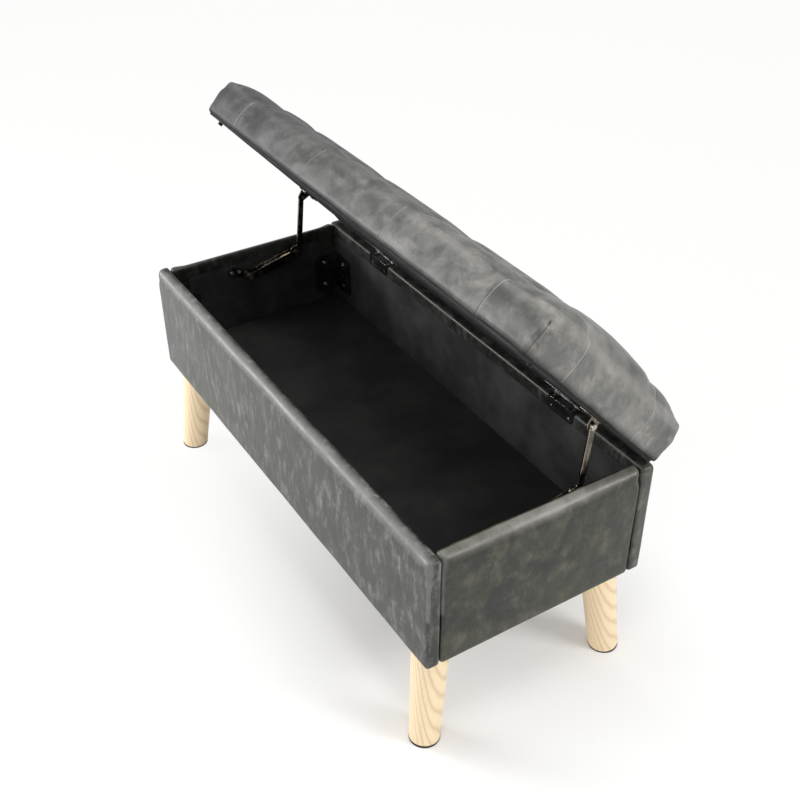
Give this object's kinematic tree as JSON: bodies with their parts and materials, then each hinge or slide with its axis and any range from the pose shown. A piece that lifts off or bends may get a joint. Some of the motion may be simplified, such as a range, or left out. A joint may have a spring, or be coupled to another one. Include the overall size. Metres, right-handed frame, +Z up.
{
  "type": "storage ottoman",
  "caption": "Long upholstered storage bench with a quilted hinged lid held open by spring stays, on splayed turned wooden legs.",
  "frame": {"origin": "on the floor under the centre of the box", "axes": "+X along the length, -Y towards the front, +Y towards the hinges, +Z up"},
  "size_m": [0.9038, 0.4226, 0.6954],
  "materials": {
    "pine_board": "sawn",
    "leather_panel": "brushed matt",
    "leather_lid": "brushed matt",
    "black_cloth": "matt",
    "black_board": "matt",
    "black_steel": "semi-gloss",
    "bronze_steel": "glossy",
    "bright_steel": "plated",
    "brass": "polished",
    "leg_wood": "clear lacquer",
    "felt": "matt",
    "rubber": "matt"
  },
  "bodies": {
    "base": {"front_board": "pine_board", "back_board": "pine_board", "left_board": "pine_board", "right_board": "pine_board", "front_cover": "leather_panel", "back_cover": "leather_panel", "left_cover": "leather_panel", "right_cover": "leather_panel", "front_lining": "black_cloth", "back_lining": "black_cloth", "left_lining": "black_cloth", "right_lining": "black_cloth", "bottom_board": "black_board", "bottom_cleats": "pine_board", "corner_blocks": "pine_board", "front_left_bracket": "black_steel", "front_right_bracket": "black_steel", "back_left_bracket": "black_steel", "back_right_bracket": "black_steel", "bracket_screws": "bright_steel", "front_left_leg": "leg_wood", "front_right_leg": "leg_wood", "back_left_leg": "leg_wood", "back_right_leg": "leg_wood", "leg_bolts": "bright_steel", "foot_glides": "felt", "left_hinge_body_leaf": "black_steel", "right_hinge_body_leaf": "black_steel", "hinge_pins": "bright_steel", "hinge_body_screws": "black_steel", "left_stay_plate": "bronze_steel", "left_stay_pivot_rivet": "bronze_steel", "right_stay_plate": "bronze_steel", "right_stay_pivot_rivet": "bronze_steel", "stay_plate_screws": "bronze_steel"},
    "lid": {"lid_cushion": "leather_lid", "lid_board": "pine_board", "lid_base": "black_cloth", "lid_bumpers": "rubber", "left_hinge_lid_leaf": "black_steel", "right_hinge_lid_leaf": "black_steel", "hinge_lid_screws": "black_steel", "left_stay_lid_bracket": "bronze_steel", "right_stay_lid_bracket": "bronze_steel", "stay_bracket_screws": "bronze_steel"},
    "left_link": {"left_stay_channel": "bronze_steel", "left_stay_spring": "bright_steel"},
    "left_plunger": {"left_stay_plunger": "brass"},
    "left_arm": {"left_stay_arm": "bronze_steel", "left_stay_elbow_rivet": "bronze_steel", "left_stay_tip_rivet": "bronze_steel"},
    "right_link": {"right_stay_channel": "bronze_steel", "right_stay_spring": "bright_steel"},
    "right_plunger": {"right_stay_plunger": "brass"},
    "right_arm": {"right_stay_arm": "bronze_steel", "right_stay_elbow_rivet": "bronze_steel", "right_stay_tip_rivet": "bronze_steel"}
  },
  "joints": [
    {"name": "lid_hinge", "type": "hinge", "parent": "base", "child": "lid", "pos_m": [0, 0.182, 0.3825], "axis": [1, 0, 0], "range_deg": [0, 47.3]},
    {"name": "left_stay_pivot", "type": "hinge", "parent": "base", "child": "left_link", "pos_m": [-0.416, -0.025, 0.334], "axis": [1, 0, 0], "range_deg": [-57.5, 0]},
    {"name": "left_stay_elbow", "type": "hinge", "parent": "left_link", "child": "left_arm", "pos_m": [-0.416, 0.07359, 0.35595], "axis": [1, 0, 0], "range_deg": [0, 60.5]},
    {"name": "left_plunger_slide", "type": "slide", "parent": "left_link", "child": "left_plunger", "axis": [0, -0.9761, -0.2173], "range_m": [0, 0.0031], "deforming": ["left_stay_spring"]},
    {"name": "right_stay_pivot", "type": "hinge", "parent": "base", "child": "right_link", "pos_m": [0.416, -0.025, 0.334], "axis": [1, 0, 0], "range_deg": [-57.5, 0]},
    {"name": "right_stay_elbow", "type": "hinge", "parent": "right_link", "child": "right_arm", "pos_m": [0.416, 0.07359, 0.35595], "axis": [1, 0, 0], "range_deg": [0, 60.5]},
    {"name": "right_plunger_slide", "type": "slide", "parent": "right_link", "child": "right_plunger", "axis": [0, -0.9761, -0.2173], "range_m": [0, 0.0031], "deforming": ["right_stay_spring"]}
  ],
  "couplings": [
    {"joint": "left_stay_pivot", "follows": "lid_hinge", "ratio": -1.2049},
    {"joint": "left_stay_elbow", "follows": "lid_hinge", "ratio": 1.2684},
    {"joint": "left_plunger_slide", "follows": "lid_hinge", "m_per_rad": 0.003634},
    {"joint": "right_stay_pivot", "follows": "lid_hinge", "ratio": -1.2049},
    {"joint": "right_stay_elbow", "follows": "lid_hinge", "ratio": 1.2684},
    {"joint": "right_plunger_slide", "follows": "lid_hinge", "m_per_rad": 0.003634}
  ]
}
